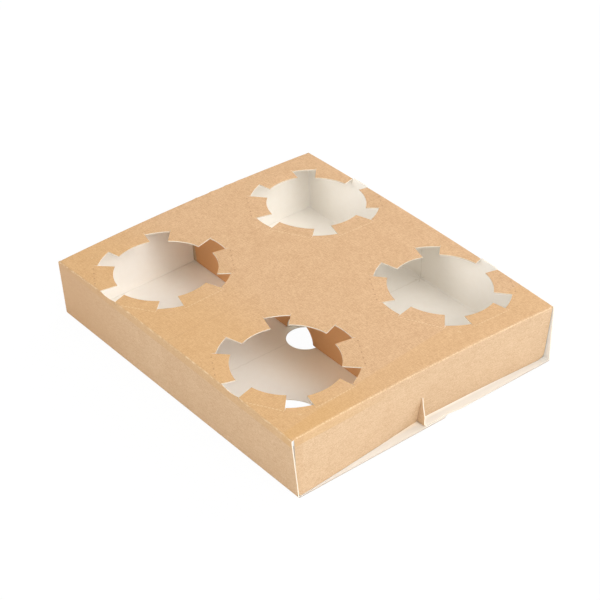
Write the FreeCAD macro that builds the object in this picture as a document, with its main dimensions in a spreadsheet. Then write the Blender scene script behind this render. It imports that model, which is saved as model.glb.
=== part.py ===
"""Cardboard cup carrier: one die-cut blank, folded into a low flat tray and glued to itself.

The tray lies on its base at z = 0. X runs along the long folds, Y across the two rows of cups,
and the origin is the middle of the base. The divider stands in the middle and props the top
panel, which bows down towards the long walls. The end flaps hang from the top panel's ends.
"""

import FreeCAD, Part

import math
import os

import Sketcher

Vector = FreeCAD.Vector

doc = FreeCAD.newDocument("cup_carrier")

# Driving dimensions, millimetres and degrees

sizes = doc.addObject("Spreadsheet::Sheet", "Sizes")
DRIVING = [
    ("board", 0.6, "thickness of the board"),
    ("fold_radius", 0.5, "inside radius of every long fold"),
    ("fold_pinch", 0.1, "how far a folded-over seam is pressed flat"),
    ("end_set_back", 0.1, "roll of the fold at the top panel's ends"),
    ("wall_height", 40.0, "height of the long walls, over the board"),
    ("crown_rise", 4.0, "height of the top panel's middle over its long folds"),
    ("left_wall_lean", 3.0, "how far the left wall's foot stands in"),
    ("notch_radius", 40.2, "outer arc of a cup seat's notches"),
    ("notch_width", 15.4, "width of a notch across its outer arc"),
    ("notch_throat", 10.6, "width of a notch between the tabs' tips"),
    ("long_tab_radius", 29.6, "tips of the three longer tabs"),
    ("short_tab_radius", 32.1, "tips of the three shorter tabs"),
    ("tab_slit", 2.6, "length of the slit that runs on past each notch's side"),
    ("tab_slit_width", 0.35, "width of that slit where it opens into the notch"),
    ("seat_gap_x", 35.6, "between the two seats of a row"),
    ("seat_gap_y", 33.6, "between the two rows"),
    ("seat_end_margin", 11.8, "from a seat to the fold of the end flap"),
    ("fold_overlap", 1.2, "how far a seat's outermost notch runs past the long fold"),
    ("notch_wall_cut", 1.0, "how far that notch cuts down at the long fold"),
    ("divider_offset", 1.0, "divider's middle plane, left of the tray's middle"),
    ("divider_end_inset", 1.5, "from the divider's lower end to the end of the base"),
    ("top_flap_clearance", 2.8, "from the glue flap's edge to the right row's seats"),
    ("base_flap_reach", 18.0, "left base's glue flap, from the tray's middle"),
    ("base_hole_radius", 21.0, "round holes in the base under the left row"),
    ("arch_radius", 10.8, "round cut at the divider's foot, and in the right base"),
    ("centre_hole_radius", 11.5, "round hole in the left base under that cut"),
    ("centre_hole_shift", 2.0, "how far the glued layers' holes are out of line"),
    ("flap_lean_angle", 7.0, "how far the end flaps slope in, degrees"),
    ("flap_side_gap", 0.8, "from an end flap's side edges to the long walls"),
    ("flap_foot_gap", 0.3, "from an end flap's lower edge to the base"),
    ("flap_corner_radius", 4.5, "an end flap's lower corners"),
    ("flap_slit_height", 20.0, "top of the end flap's slit, over the table"),
    ("flap_slit_width", 1.4, "width of that slit"),
    ("lock_gap", 0.3, "between the end flap and the divider where they interlock"),
    ("crease_width", 0.6, "pressed crease across the middle of the top panel"),
    ("crease_depth", 0.15, "depth of that crease"),
]
for row, (alias, size, meaning) in enumerate(DRIVING, start=1):
    sizes.set(f"A{row}", meaning)
    sizes.set(f"B{row}", str(size))
    sizes.setAlias(f"B{row}", alias)
doc.recompute()

# Worked-out sizes, as expressions on the driving dimensions

BOARD = "Sizes.board"
OUTER_FOLD = "(Sizes.board + Sizes.fold_radius)"
HALF_LENGTH = "(2 * Sizes.notch_radius + Sizes.seat_gap_x / 2 + Sizes.seat_end_margin)"
HALF_DEPTH = "(2 * Sizes.notch_radius + Sizes.seat_gap_y / 2 - Sizes.fold_overlap)"
SEAT_X = "(Sizes.notch_radius + Sizes.seat_gap_x / 2)"
SEAT_Y = "(Sizes.notch_radius + Sizes.seat_gap_y / 2)"
FOOT = "(2 * Sizes.board + Sizes.fold_radius)"
CROWN_TOP = "(Sizes.wall_height + Sizes.crown_rise)"
LEFT_FACE = "(-Sizes.divider_offset - Sizes.board / 2)"
RIGHT_FACE = "(-Sizes.divider_offset + Sizes.board / 2)"
TOP_FLAP_EDGE = "(Sizes.seat_gap_y / 2 - Sizes.top_flap_clearance)"
LEFT_FOOT = f"({HALF_DEPTH} - Sizes.left_wall_lean)"

# The top panel is part of a round arch across the tray, through both long folds and the crown
ARCH_OUTER = f"(({HALF_DEPTH}^2 + Sizes.crown_rise^2) / (2 * Sizes.crown_rise))"
ARCH_UNDER = f"({ARCH_OUTER} - Sizes.board)"
ARCH_MIDDLE = f"({ARCH_OUTER} - Sizes.board / 2)"
ARCH_FLAP = f"({ARCH_OUTER} - 2 * Sizes.board)"
ARCH_CENTRE = f"({CROWN_TOP} - {ARCH_OUTER})"

# A folded-over seam: its outer fold arc meets the layer below just short of tangent
PINCH_DROP = f"({OUTER_FOLD} - Sizes.fold_pinch)"
PINCH_REACH = f"({OUTER_FOLD} - sqrt({OUTER_FOLD}^2 - {PINCH_DROP}^2))"


def value(expression):
    """The number that an expression gives with the sheet as it stands."""
    found = sizes.evalExpression(expression)
    return float(getattr(found, "Value", found))


def arch_height(radius, across):
    """Expression for the height of an arch of this radius, at this distance from the middle."""
    return f"({ARCH_CENTRE} + sqrt({radius}^2 - ({across})^2))"


def origin_plane(body, role):
    """The body's own origin plane with this role."""
    for feature in body.Origin.OriginFeatures:
        if feature.Role == role:
            return feature


def new_sketch(body, name, role, offset=None, tilt=None):
    """A sketch on an origin plane, moved by expressions for its local x, y, z and its tilt."""
    sketch = body.newObject("Sketcher::SketchObject", name)
    sketch.AttachmentSupport = [(origin_plane(body, role), "")]
    sketch.MapMode = "FlatFace"
    turn = value(tilt) if tilt else 0.0
    sketch.AttachmentOffset = FreeCAD.Placement(Vector(), FreeCAD.Rotation(Vector(1, 0, 0), turn))
    for axis, expression in (offset or {}).items():
        sketch.setExpression(f"AttachmentOffset.Base.{axis}", expression)
    if tilt:
        sketch.setExpression("AttachmentOffset.Rotation.Angle", f"{tilt} * 1 deg")
    return sketch


def drive(sketch, constraint, expression):
    """Adds a constraint whose value follows an expression."""
    index = sketch.addConstraint(constraint)
    sketch.setExpression(f"Constraints[{index}]", expression)


def arc_between(start, end, radius, bulge):
    """The arc from start to end, turning left (bulge 1) or right (bulge -1) along the way."""
    chord = end - start
    middle = (start + end) * 0.5
    rise = math.sqrt(max(radius**2 - (chord.Length / 2) ** 2, 0.0))
    across = Vector(-chord.y, chord.x, 0).normalize()
    centre = middle + across * rise * bulge
    first, last = (start, end) if bulge > 0 else (end, start)
    first_angle = math.atan2(first.y - centre.y, first.x - centre.x)
    last_angle = math.atan2(last.y - centre.y, last.x - centre.x)
    circle = Part.Circle(centre, Vector(0, 0, 1), radius)
    return Part.ArcOfCircle(circle, first_angle, last_angle)


def outline(sketch, corners):
    """A closed outline. Each corner is (x, y), then what leads on from it where that is an arc:
    its radius and whether it turns left (1) or right (-1). All sizes are expressions."""
    points = [Vector(value(corner[0]), value(corner[1]), 0) for corner in corners]
    edges = []
    for index, corner in enumerate(corners):
        start = points[index]
        end = points[(index + 1) % len(points)]
        if len(corner) == 2:
            edge = sketch.addGeometry(Part.LineSegment(start, end), False)
            edges.append((edge, 1, 2))
            continue
        radius, bulge = corner[2:]
        edge = sketch.addGeometry(arc_between(start, end, value(radius), bulge), False)
        edges.append((edge, 1, 2) if bulge > 0 else (edge, 2, 1))
        drive(sketch, Sketcher.Constraint("Radius", edge, value(radius)), radius)
    for index, (edge, start, end) in enumerate(edges):
        following, its_start, _ = edges[(index + 1) % len(edges)]
        sketch.addConstraint(Sketcher.Constraint("Coincident", edge, end, following, its_start))
        place(sketch, edge, start, points[index], corners[index])


def place(sketch, edge, point, where, corner):
    """Ties a point to its two expressions, measured from the sketch's origin."""
    drive(sketch, Sketcher.Constraint("DistanceX", -1, 1, edge, point, where.x), corner[0])
    drive(sketch, Sketcher.Constraint("DistanceY", -1, 1, edge, point, where.y), corner[1])


def round_hole(sketch, x, y, radius):
    """A full circle with its middle and radius given by expressions."""
    middle = Vector(value(x), value(y), 0)
    edge = sketch.addGeometry(Part.Circle(middle, Vector(0, 0, 1), value(radius)), False)
    place(sketch, edge, 3, middle, (x, y))
    drive(sketch, Sketcher.Constraint("Radius", edge, value(radius)), radius)


def pad(body, name, sketch, length, midplane=False, reverse=False):
    """Adds board along the sketch's normal."""
    feature = body.newObject("PartDesign::Pad", name)
    feature.Profile = sketch
    feature.SideType = "Symmetric" if midplane else "One side"
    feature.Reversed = reverse
    feature.setExpression("Length", length)
    doc.recompute()
    return feature


def pocket(body, name, sketch, depth, midplane=False, reverse=False):
    """Cuts board away and stops if nothing was cut."""
    before = body.Shape.Volume
    feature = body.newObject("PartDesign::Pocket", name)
    feature.Profile = sketch
    feature.SideType = "Symmetric" if midplane else "One side"
    feature.Reversed = reverse
    feature.setExpression("Length", depth)
    doc.recompute()
    if not feature.Shape.Volume < before:
        raise RuntimeError(f"{name} cuts nothing")
    return feature


def groove(body, name, sketch):
    """Cuts all the way round the sketch's own horizontal axis and stops if nothing was cut."""
    before = body.Shape.Volume
    feature = body.newObject("PartDesign::Groove", name)
    feature.Profile = sketch
    feature.ReferenceAxis = (sketch, ["H_Axis"])
    feature.Angle = 360.0
    doc.recompute()
    if not feature.Shape.Volume < before:
        raise RuntimeError(f"{name} cuts nothing")
    return feature


def mirrored(body, name, features, role):
    """Repeats features on the far side of an origin plane."""
    feature = body.newObject("PartDesign::Mirrored", name)
    feature.Originals = features
    feature.MirrorPlane = (origin_plane(body, role), [""])
    body.Tip = feature
    doc.recompute()
    return feature


def long_edges(shape, places):
    """Names of the edges that run the whole length of the tray through these (y, z) places."""
    near = 0.02
    names = []
    for y, z in places:
        for index, edge in enumerate(shape.Edges, start=1):
            ends = [vertex.Point for vertex in edge.Vertexes]
            if len(ends) == 2 and abs(ends[0].x - ends[1].x) > value(HALF_LENGTH):
                if all(abs(end.y - y) < near and abs(end.z - z) < near for end in ends):
                    names.append(f"Edge{index}")
    return names


def rounded(body, name, edge_names, radius):
    """Rolls the named edges of the body's last feature to a radius."""
    rolled = body.Tip
    feature = body.newObject("PartDesign::Fillet", name)
    feature.Base = (rolled, edge_names)
    feature.setExpression("Radius", radius)
    body.Tip = feature
    doc.recompute()
    return feature


carrier = doc.addObject("PartDesign::Body", "carrier_sheet")
carrier.Label = "carrier_sheet"

# Base, long walls and top panel, drawn across the tray and padded along it. The left base lies
# flat and runs on under the right base as a glue flap. The right base slopes down past it. The
# stub between them is the foot of the divider, with its outer fold rolled over the left base.

left_inner_foot = f"(-{LEFT_FOOT} + {BOARD})"
left_inner_head = f"(-{HALF_DEPTH} + {BOARD})"
right_inner = f"({HALF_DEPTH} - {BOARD})"

shell_section = new_sketch(carrier, "shell_section", "YZ_Plane")
outline(
    shell_section,
    [
        (f"-{LEFT_FOOT}", "0"),
        ("Sizes.base_flap_reach", "0"),
        ("Sizes.base_flap_reach", BOARD),
        (HALF_DEPTH, "0"),
        (HALF_DEPTH, "Sizes.wall_height", ARCH_OUTER, 1),
        (f"-{HALF_DEPTH}", "Sizes.wall_height"),
    ],
)
outline(
    shell_section,
    [
        (left_inner_foot, BOARD),
        (left_inner_head, arch_height(ARCH_UNDER, left_inner_head), ARCH_UNDER, -1),
        (right_inner, arch_height(ARCH_UNDER, right_inner)),
        (right_inner, BOARD),
        ("Sizes.base_flap_reach", f"(2 * {BOARD})"),
        (f"({RIGHT_FACE} + Sizes.fold_radius)", f"(2 * {BOARD})", "Sizes.fold_radius", -1),
        (RIGHT_FACE, FOOT),
        (LEFT_FACE, FOOT),
        (LEFT_FACE, f"({BOARD} + {PINCH_DROP})", OUTER_FOLD, 1),
        (f"({LEFT_FACE} + {PINCH_REACH})", BOARD),
    ],
)
pad(carrier, "shell", shell_section, f"2 * {HALF_LENGTH}", midplane=True)

depth_now = value(HALF_DEPTH)
foot_now = value(LEFT_FOOT)
height_now = value("Sizes.wall_height")
outer_corners = [(-foot_now, 0.0), (depth_now, 0.0), (depth_now, height_now), (-depth_now, height_now)]
inner_corners = [
    (value(left_inner_foot), value(BOARD)),
    (value(left_inner_head), value(arch_height(ARCH_UNDER, left_inner_head))),
    (value(right_inner), value(arch_height(ARCH_UNDER, right_inner))),
    (value(right_inner), value(BOARD)),
]
rounded(carrier, "outer_folds", long_edges(carrier.Shape, outer_corners), OUTER_FOLD)
rounded(carrier, "inner_folds", long_edges(carrier.Shape, inner_corners), "Sizes.fold_radius")

# Divider. Below the slit its ends reach out through the end flaps, and above it they stop short
# of them. Its upper edge turns over as a flap glued under the top panel.

flap_pivot = f"({CROWN_TOP} - {BOARD} / 2)"
slit_drop = f"({flap_pivot} - Sizes.flap_slit_height)"
lean_cos = "cos(Sizes.flap_lean_angle * 1 deg)"
lean_tan = "tan(Sizes.flap_lean_angle * 1 deg)"
web_end = (
    f"({HALF_LENGTH} - Sizes.end_set_back - {BOARD} / {lean_cos}"
    f" - {slit_drop} * {lean_tan} - Sizes.lock_gap)"
)
web_split = "(Sizes.flap_slit_height - Sizes.lock_gap)"

ear_section = new_sketch(carrier, "ear_section", "YZ_Plane")
outline(
    ear_section,
    [
        (LEFT_FACE, f"({FOOT} - Sizes.fold_pinch)"),
        (RIGHT_FACE, f"({FOOT} - Sizes.fold_pinch)"),
        (RIGHT_FACE, web_split),
        (LEFT_FACE, web_split),
    ],
)
pad(carrier, "divider_ears", ear_section, f"2 * ({HALF_LENGTH} - Sizes.divider_end_inset)", midplane=True)

fold_start = f"({LEFT_FACE} + {PINCH_REACH})"
flap_inner = f"({RIGHT_FACE} + Sizes.fold_radius)"
web_section = new_sketch(carrier, "web_section", "YZ_Plane")
outline(
    web_section,
    [
        (LEFT_FACE, f"({web_split} - Sizes.fold_pinch)"),
        (RIGHT_FACE, f"({web_split} - Sizes.fold_pinch)"),
        (RIGHT_FACE, f"({arch_height(ARCH_FLAP, flap_inner)} - Sizes.fold_radius)", "Sizes.fold_radius", -1),
        (flap_inner, arch_height(ARCH_FLAP, flap_inner), ARCH_FLAP, -1),
        (TOP_FLAP_EDGE, arch_height(ARCH_FLAP, TOP_FLAP_EDGE)),
        (TOP_FLAP_EDGE, arch_height(ARCH_MIDDLE, TOP_FLAP_EDGE), ARCH_MIDDLE, 1),
        (fold_start, arch_height(ARCH_MIDDLE, fold_start)),
        (fold_start, arch_height(ARCH_UNDER, fold_start), OUTER_FOLD, 1),
        (LEFT_FACE, f"({arch_height(ARCH_UNDER, fold_start)} - {PINCH_DROP})"),
    ],
)
pad(carrier, "divider_web", web_section, f"2 * {web_end}", midplane=True)

# Round cut at the divider's foot and in both glued layers of the base below it

arch_cut = new_sketch(carrier, "arch_cut", "XZ_Plane", {"z": "Sizes.divider_offset"})
round_hole(arch_cut, "0", BOARD, "Sizes.arch_radius")
pocket(carrier, "divider_arch", arch_cut, f"2 * {OUTER_FOLD}", midplane=True)

upper_hole = new_sketch(carrier, "upper_hole", "XY_Plane", {"z": FOOT})
round_hole(upper_hole, "0", "-Sizes.divider_offset", "Sizes.arch_radius")
pocket(carrier, "right_base_hole", upper_hole, f"{FOOT} - {BOARD}")

lower_holes = new_sketch(carrier, "lower_holes", "XY_Plane", {"z": BOARD})
round_hole(lower_holes, "Sizes.centre_hole_shift", "-Sizes.divider_offset", "Sizes.centre_hole_radius")
round_hole(lower_holes, SEAT_X, f"-{SEAT_Y}", "Sizes.base_hole_radius")
round_hole(lower_holes, f"-{SEAT_X}", f"-{SEAT_Y}", "Sizes.base_hole_radius")
pocket(carrier, "left_base_holes", lower_holes, f"2 * {BOARD}")

# Cup seats. Each is cut from above, down to just under the long fold

NOTCHES = 6
NOTCH_STEP = 360 / NOTCHES


def seat_point(radius, angle):
    """A point of a seat's outline, at this radius and angle about its middle."""
    return f"({SEAT_X} + {radius} * cos({angle}))", f"({SEAT_Y} + {radius} * sin({angle}))"


def half_angle(width, radius):
    """Half the angle that a width takes up across an arc, in degrees."""
    return f"asin({width} / 2 / {radius})"


def slit_half_angle(tab_radius):
    """Half the angle between a notch's two slits at their tips. A slit carries on the line of the
    side of its tab, whose tip is at this radius."""
    flare = f"(Sizes.notch_width - Sizes.notch_throat) / (Sizes.notch_radius - {tab_radius})"
    return half_angle(f"(Sizes.notch_width + {flare} * Sizes.tab_slit)", slit_tip)


slit_tip = "(Sizes.notch_radius + Sizes.tab_slit)"
slit_mouth = "(Sizes.notch_width - 2 * Sizes.tab_slit_width)"

seat_corners = []
for notch in range(NOTCHES):
    middle = f"{(notch + 0.5) * NOTCH_STEP} deg"
    before = "Sizes.short_tab_radius" if notch % 2 == 0 else "Sizes.long_tab_radius"
    after = "Sizes.long_tab_radius" if notch % 2 == 0 else "Sizes.short_tab_radius"
    throat_before = f"{middle} - {half_angle('Sizes.notch_throat', before)}"
    throat_after = f"{middle} + {half_angle('Sizes.notch_throat', after)}"
    arc_half = half_angle(slit_mouth, "Sizes.notch_radius")
    seat_corners += [
        seat_point(before, throat_before),
        seat_point(slit_tip, f"{middle} - {slit_half_angle(before)}"),
        (*seat_point("Sizes.notch_radius", f"{middle} - {arc_half}"), "Sizes.notch_radius", 1),
        seat_point("Sizes.notch_radius", f"{middle} + {arc_half}"),
        seat_point(slit_tip, f"{middle} + {slit_half_angle(after)}"),
        (*seat_point(after, throat_after), after, 1),
    ]

above = "Sizes.notch_wall_cut"
seat_outline = new_sketch(carrier, "seat_outline", "XY_Plane", {"z": f"{CROWN_TOP} + {above}"})
outline(seat_outline, seat_corners)
seat_depth = f"Sizes.crown_rise + {above} + Sizes.notch_wall_cut"
first_seat = pocket(carrier, "seat_cut", seat_outline, seat_depth)

all_seats = carrier.newObject("PartDesign::MultiTransform", "all_seats")
all_seats.Originals = [first_seat]
mirrorings = []
for name, role in (("seats_along", "YZ_Plane"), ("seats_across", "XZ_Plane")):
    mirroring = carrier.newObject("PartDesign::Mirrored", name)
    mirroring.MirrorPlane = (origin_plane(carrier, role), [""])
    mirrorings.append(mirroring)
all_seats.Transformations = mirrorings
carrier.Tip = all_seats
doc.recompute()

# Pressed crease across the middle of the top panel

crease_edge = f"({HALF_DEPTH} - {OUTER_FOLD})"
crease_floor = f"({ARCH_OUTER} - Sizes.crease_depth)"
crease_section = new_sketch(carrier, "crease_section", "YZ_Plane")
outline(
    crease_section,
    [
        (f"-{crease_edge}", f"({CROWN_TOP} + {BOARD})"),
        (f"-{crease_edge}", arch_height(crease_floor, crease_edge), crease_floor, -1),
        (crease_edge, arch_height(crease_floor, crease_edge)),
        (crease_edge, f"({CROWN_TOP} + {BOARD})"),
    ],
)
pocket(carrier, "middle_crease", crease_section, "Sizes.crease_width", midplane=True)

# Rolled edge of the fold at each end of the top panel, turned about the arch's own axis

roll_start = f"({HALF_LENGTH} - Sizes.fold_radius)"
roll_under = f"({ARCH_OUTER} - Sizes.fold_radius)"
past_end = f"({HALF_LENGTH} + {BOARD})"
past_top = f"({ARCH_OUTER} + {BOARD})"
roll_section = new_sketch(carrier, "roll_section", "XZ_Plane", {"y": ARCH_CENTRE})
outline(
    roll_section,
    [
        (roll_start, past_top),
        (roll_start, ARCH_OUTER, "Sizes.fold_radius", -1),
        (HALF_LENGTH, roll_under),
        (past_end, roll_under),
        (past_end, past_top),
    ],
)
end_roll = groove(carrier, "end_roll", roll_section)
mirrored(carrier, "end_rolls", [end_roll], "YZ_Plane")

# End flaps, each a sloping panel with a slit that straddles the divider's end. Sizes down the
# flap are measured along its slope from the fold.


def down_flap(height):
    """Where a height over the table comes on the sloping flap, below its fold."""
    return f"(({height} - {flap_pivot}) / {lean_cos})"


flap_right = f"({HALF_DEPTH} - {BOARD} - Sizes.flap_side_gap)"
flap_left_head = f"-{flap_right}"
flap_left_foot = f"(Sizes.left_wall_lean - {flap_right})"
low_foot = f"({BOARD} + Sizes.flap_foot_gap)"
high_foot = f"(2 * {BOARD} + Sizes.flap_foot_gap)"
slit_left = "(-Sizes.divider_offset - Sizes.flap_slit_width / 2)"
slit_right = "(-Sizes.divider_offset + Sizes.flap_slit_width / 2)"
corner = "Sizes.flap_corner_radius"
left_slope = f"(Sizes.left_wall_lean * {corner} / Sizes.wall_height)"

flap_outline = new_sketch(
    carrier,
    "flap_outline",
    "YZ_Plane",
    {"y": flap_pivot, "z": f"{HALF_LENGTH} - Sizes.end_set_back"},
    "Sizes.flap_lean_angle",
)
outline(
    flap_outline,
    [
        (flap_right, down_flap(arch_height(ARCH_MIDDLE, flap_right)), ARCH_MIDDLE, 1),
        (flap_left_head, down_flap(arch_height(ARCH_MIDDLE, flap_right))),
        (f"({flap_left_foot} - {left_slope})", down_flap(f"({low_foot} + {corner})"), corner, 1),
        (f"({flap_left_foot} + {corner})", down_flap(low_foot)),
        (slit_left, down_flap(low_foot)),
        (slit_left, down_flap("Sizes.flap_slit_height")),
        (slit_right, down_flap("Sizes.flap_slit_height")),
        (slit_right, down_flap(high_foot)),
        (f"({flap_right} - {corner})", down_flap(low_foot), corner, 1),
        (flap_right, down_flap(f"({low_foot} + {corner})")),
    ],
)
front_flap = pad(carrier, "front_flap", flap_outline, BOARD, reverse=True)
mirrored(carrier, "both_flaps", [front_flap], "YZ_Plane")

# Check every object, then write the part

for item in doc.Objects:
    if "Invalid" in item.State or "Error" in item.State:
        raise RuntimeError(f"{item.Name} is {item.State}")
if carrier.Shape.isNull() or not carrier.Shape.isValid() or len(carrier.Shape.Solids) != 1:
    raise RuntimeError("carrier_sheet is not one valid solid")

box = carrier.Shape.optimalBoundingBox()
print(f"carrier_sheet {box.XLength:.2f} x {box.YLength:.2f} x {box.ZLength:.2f} mm")
print(f"z from {box.ZMin:.3f}, volume {carrier.Shape.Volume:.0f} mm3, {len(carrier.Shape.Faces)} faces")

os.makedirs("parts", exist_ok=True)
carrier.Shape.exportStep(f"parts/{carrier.Label}.step")
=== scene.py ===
"""Cardboard cup carrier: one die-cut blank of kraft board, folded into a low tray for four cups."""

import math

import bpy
import numpy as np
from mathutils.geometry import delaunay_2d_cdt
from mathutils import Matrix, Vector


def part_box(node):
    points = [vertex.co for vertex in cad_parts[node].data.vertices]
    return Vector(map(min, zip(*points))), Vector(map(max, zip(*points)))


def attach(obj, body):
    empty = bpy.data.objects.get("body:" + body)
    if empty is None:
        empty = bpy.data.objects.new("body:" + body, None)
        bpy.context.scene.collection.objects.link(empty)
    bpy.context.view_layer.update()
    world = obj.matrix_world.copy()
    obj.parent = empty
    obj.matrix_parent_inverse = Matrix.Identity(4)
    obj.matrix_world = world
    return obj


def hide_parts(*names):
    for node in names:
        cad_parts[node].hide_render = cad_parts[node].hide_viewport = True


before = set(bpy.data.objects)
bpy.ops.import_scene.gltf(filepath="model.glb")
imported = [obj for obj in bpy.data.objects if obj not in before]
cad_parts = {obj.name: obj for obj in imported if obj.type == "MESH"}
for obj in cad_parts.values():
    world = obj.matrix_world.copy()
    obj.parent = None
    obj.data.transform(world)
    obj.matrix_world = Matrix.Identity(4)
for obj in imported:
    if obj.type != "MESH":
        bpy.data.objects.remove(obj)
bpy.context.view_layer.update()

# The folded profile. The whole tray is one strip of board across the long folds: a glue flap, the
# divider, the right base, the right wall, the top panel, the left wall and the left base, whose
# end is glued under the right base. Each fold is a scored line, rolled to about two boards.

MM = 0.001
_, high_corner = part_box("carrier_sheet")
HALF_LENGTH = high_corner.x / MM
HALF_DEPTH = high_corner.y / MM
BOARD = 0.6
CROWN = high_corner.z / MM + BOARD
FOLD_RADIUS = 1.1
GLUE_GAP = 0.02
DIVIDER_FACE = -1.3
TOP_GLUE_FLAP_EDGE = 14.0
BASE_GLUE_FLAP_EDGE = 18.3
BASE_STEP = 20.5
UNDER_TOP = CROWN - BOARD - GLUE_GAP
OVER_BASE = BOARD + GLUE_GAP
ROW = 2.4
ROWS_BESIDE_FOLD = np.array([0.0, 0.5, 1.2])
ROWS_PER_RADIAN = 4

profile_corners = np.array(
    [
        (TOP_GLUE_FLAP_EDGE, UNDER_TOP),
        (DIVIDER_FACE, UNDER_TOP),
        (DIVIDER_FACE, OVER_BASE),
        (BASE_STEP, OVER_BASE),
        (HALF_DEPTH, 0.0),
        (HALF_DEPTH, CROWN),
        (-HALF_DEPTH, CROWN),
        (-HALF_DEPTH, 0.0),
        (BASE_GLUE_FLAP_EDGE, 0.0),
    ]
)
GLUE_FLAP, DIVIDER, BASE_LAP, RIGHT_BASE, RIGHT_WALL, TOP, LEFT_WALL, LEFT_BASE = range(8)


def folded_profile(corners, radius, spacing):
    """Rounds a line of corners to a radius: a round takes radius * tan(half its turn) from each
    straight beside it. Returns, row by row, the distance along the rounded line, its (y, z) and
    its outward normal, then where each straight starts and ends."""
    runs = np.diff(corners, axis=0)
    headings = np.arctan2(runs[:, 1], runs[:, 0])
    turns = np.mod(np.diff(headings) + np.pi, 2 * np.pi) - np.pi
    trims = np.concatenate([[0.0], radius * np.tan(np.abs(turns) / 2), [0.0]])
    lengths = np.hypot(runs[:, 0], runs[:, 1]) - trims[:-1] - trims[1:]
    distance, places, angles, spans = [], [], [], []
    start = 0.0
    for panel, heading in enumerate(headings):
        along = np.array([math.cos(heading), math.sin(heading)])
        length = lengths[panel]
        middle = np.linspace(spacing, length - spacing, max(int(length / spacing), 2))
        steps = np.concatenate([ROWS_BESIDE_FOLD, middle, length - ROWS_BESIDE_FOLD[::-1]])
        first = corners[panel] + along * trims[panel]
        distance.append(start + steps)
        places.append(first + steps[:, None] * along)
        angles.append(np.full(len(steps), heading))
        spans.append((start, start + length))
        start += length
        if panel == len(turns):
            break
        turn = turns[panel]
        part = np.linspace(0.0, 1.0, 2 + int(abs(turn) * ROWS_PER_RADIAN))[1:-1]
        across = np.array([-along[1], along[0]]) * np.sign(turn)
        centre = first + along * length + across * radius
        heading_there = heading + turn * part
        outward = -np.sign(turn) * np.stack([-np.sin(heading_there), np.cos(heading_there)], axis=1)
        distance.append(start + abs(turn) * radius * part)
        places.append(centre + outward * radius)
        angles.append(heading_there)
        start += abs(turn) * radius
    angle = np.concatenate(angles)
    normals = np.stack([np.sin(angle), -np.cos(angle)], axis=1)
    return np.concatenate(distance), np.concatenate(places), normals, np.array(spans)


rows, row_places, row_normals, spans = folded_profile(profile_corners, FOLD_RADIUS, ROW)


def on_top(y):
    """Distance down the blank of a place on the top panel, this far across the tray."""
    return spans[TOP, 0] + (HALF_DEPTH - FOLD_RADIUS) - np.asarray(y)


def on_left_base(y):
    """The same for the left base."""
    return spans[LEFT_BASE, 0] + np.asarray(y) + (HALF_DEPTH - FOLD_RADIUS)


def on_divider(z):
    """The same for a height on the divider."""
    return spans[DIVIDER, 0] + (UNDER_TOP - FOLD_RADIUS) - np.asarray(z)


# The cup seats. The die punches each one out of the board: six tabs round a hole, alternately
# longer and shorter, between six notches that flare outwards. Each tab bends at a scored hinge
# between two short slits. All four were punched a little out of line with the folds.

SEAT_X = 57.9
SEAT_Y = 57.0
SEATS_OFF_X = -0.6
SEATS_OFF_Y = 1.2
NOTCH_RADIUS = 40.2
NOTCH_WIDTH = 15.4
THROAT = 10.6
LONG_TAB = 29.6
SHORT_TAB = 32.1
SLIT = 2.6
SLIT_MOUTH = 0.3
CUT_STEP = 0.9
NOTCHES = 6
NOTCH_AT_FOLD = 1
STRIP_END = 37.0
STRIP_TAPER = 0.84


def arc(radius, first, last):
    """Points of a round arc about the origin, a cut step apart, from one angle to another."""
    count = max(int(abs(last - first) * radius / CUT_STEP), 2)
    angle = np.linspace(first, last, count + 1)
    return np.stack([radius * np.cos(angle), radius * np.sin(angle)], axis=1)


def side_line(half_widths, radii, middle, side):
    """Two points at these radii, each its half width off the line at the middle angle."""
    angle = middle + side * np.arcsin(np.array(half_widths) / np.array(radii))
    return np.stack([radii * np.cos(angle), radii * np.sin(angle)], axis=1)


def seat_outline(meets_fold):
    """The cut of a seat at the right-hand end of the tray, about its own middle. Where a seat
    meets the right wall's fold, its notch stops short of it and leaves a narrow strip."""
    pieces = []
    for notch in range(NOTCHES):
        middle = math.tau / NOTCHES * (notch + 0.5)
        before, after = (SHORT_TAB, LONG_TAB) if notch % 2 == 0 else (LONG_TAB, SHORT_TAB)
        tip = NOTCH_RADIUS + SLIT
        mouth = math.asin((NOTCH_WIDTH / 2 - SLIT_MOUTH) / NOTCH_RADIUS)
        for tab, side in ((before, -1), (after, 1)):
            flare = (NOTCH_WIDTH - THROAT) / 2 / (NOTCH_RADIUS - tab)
            half_widths = [THROAT / 2, NOTCH_WIDTH / 2, NOTCH_WIDTH / 2 + flare * SLIT]
            cut = side_line(half_widths, [tab, NOTCH_RADIUS, tip], middle, side)
            if side < 0:
                end = arc(NOTCH_RADIUS, middle - mouth, middle + mouth)
                if meets_fold and notch == NOTCH_AT_FOLD:
                    end = end * (STRIP_TAPER, 0) + (0, STRIP_END)
                pieces += [cut, end]
            else:
                pieces.append(cut[::-1])
        throat = math.asin(THROAT / 2 / after)
        next_middle = middle + math.tau / NOTCHES
        pieces.append(arc(after, middle + throat, next_middle - throat)[1:-1])
    return np.concatenate(pieces)


seat_cuts = []
for side_x in (1, -1):
    for side_y in (1, -1):
        middle = (side_x * SEAT_X + SEATS_OFF_X, side_y * SEAT_Y + SEATS_OFF_Y)
        cut = seat_outline(side_y > 0) * (side_x, 1) + middle
        seat_cuts.append(np.stack([cut[:, 0], on_top(cut[:, 1])], axis=1))

# The holes in the base. Under the left row the base is punched out below each seat. A smaller hole
# at the foot of the divider is cut in both glued layers, a little out of line with each other.

BASE_HOLE = 21.0
FOOT_HOLE = 12.2
LAP_HOLE = 11.5
LAP_HOLE_PLACE = (2.6, 0.7)

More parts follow.
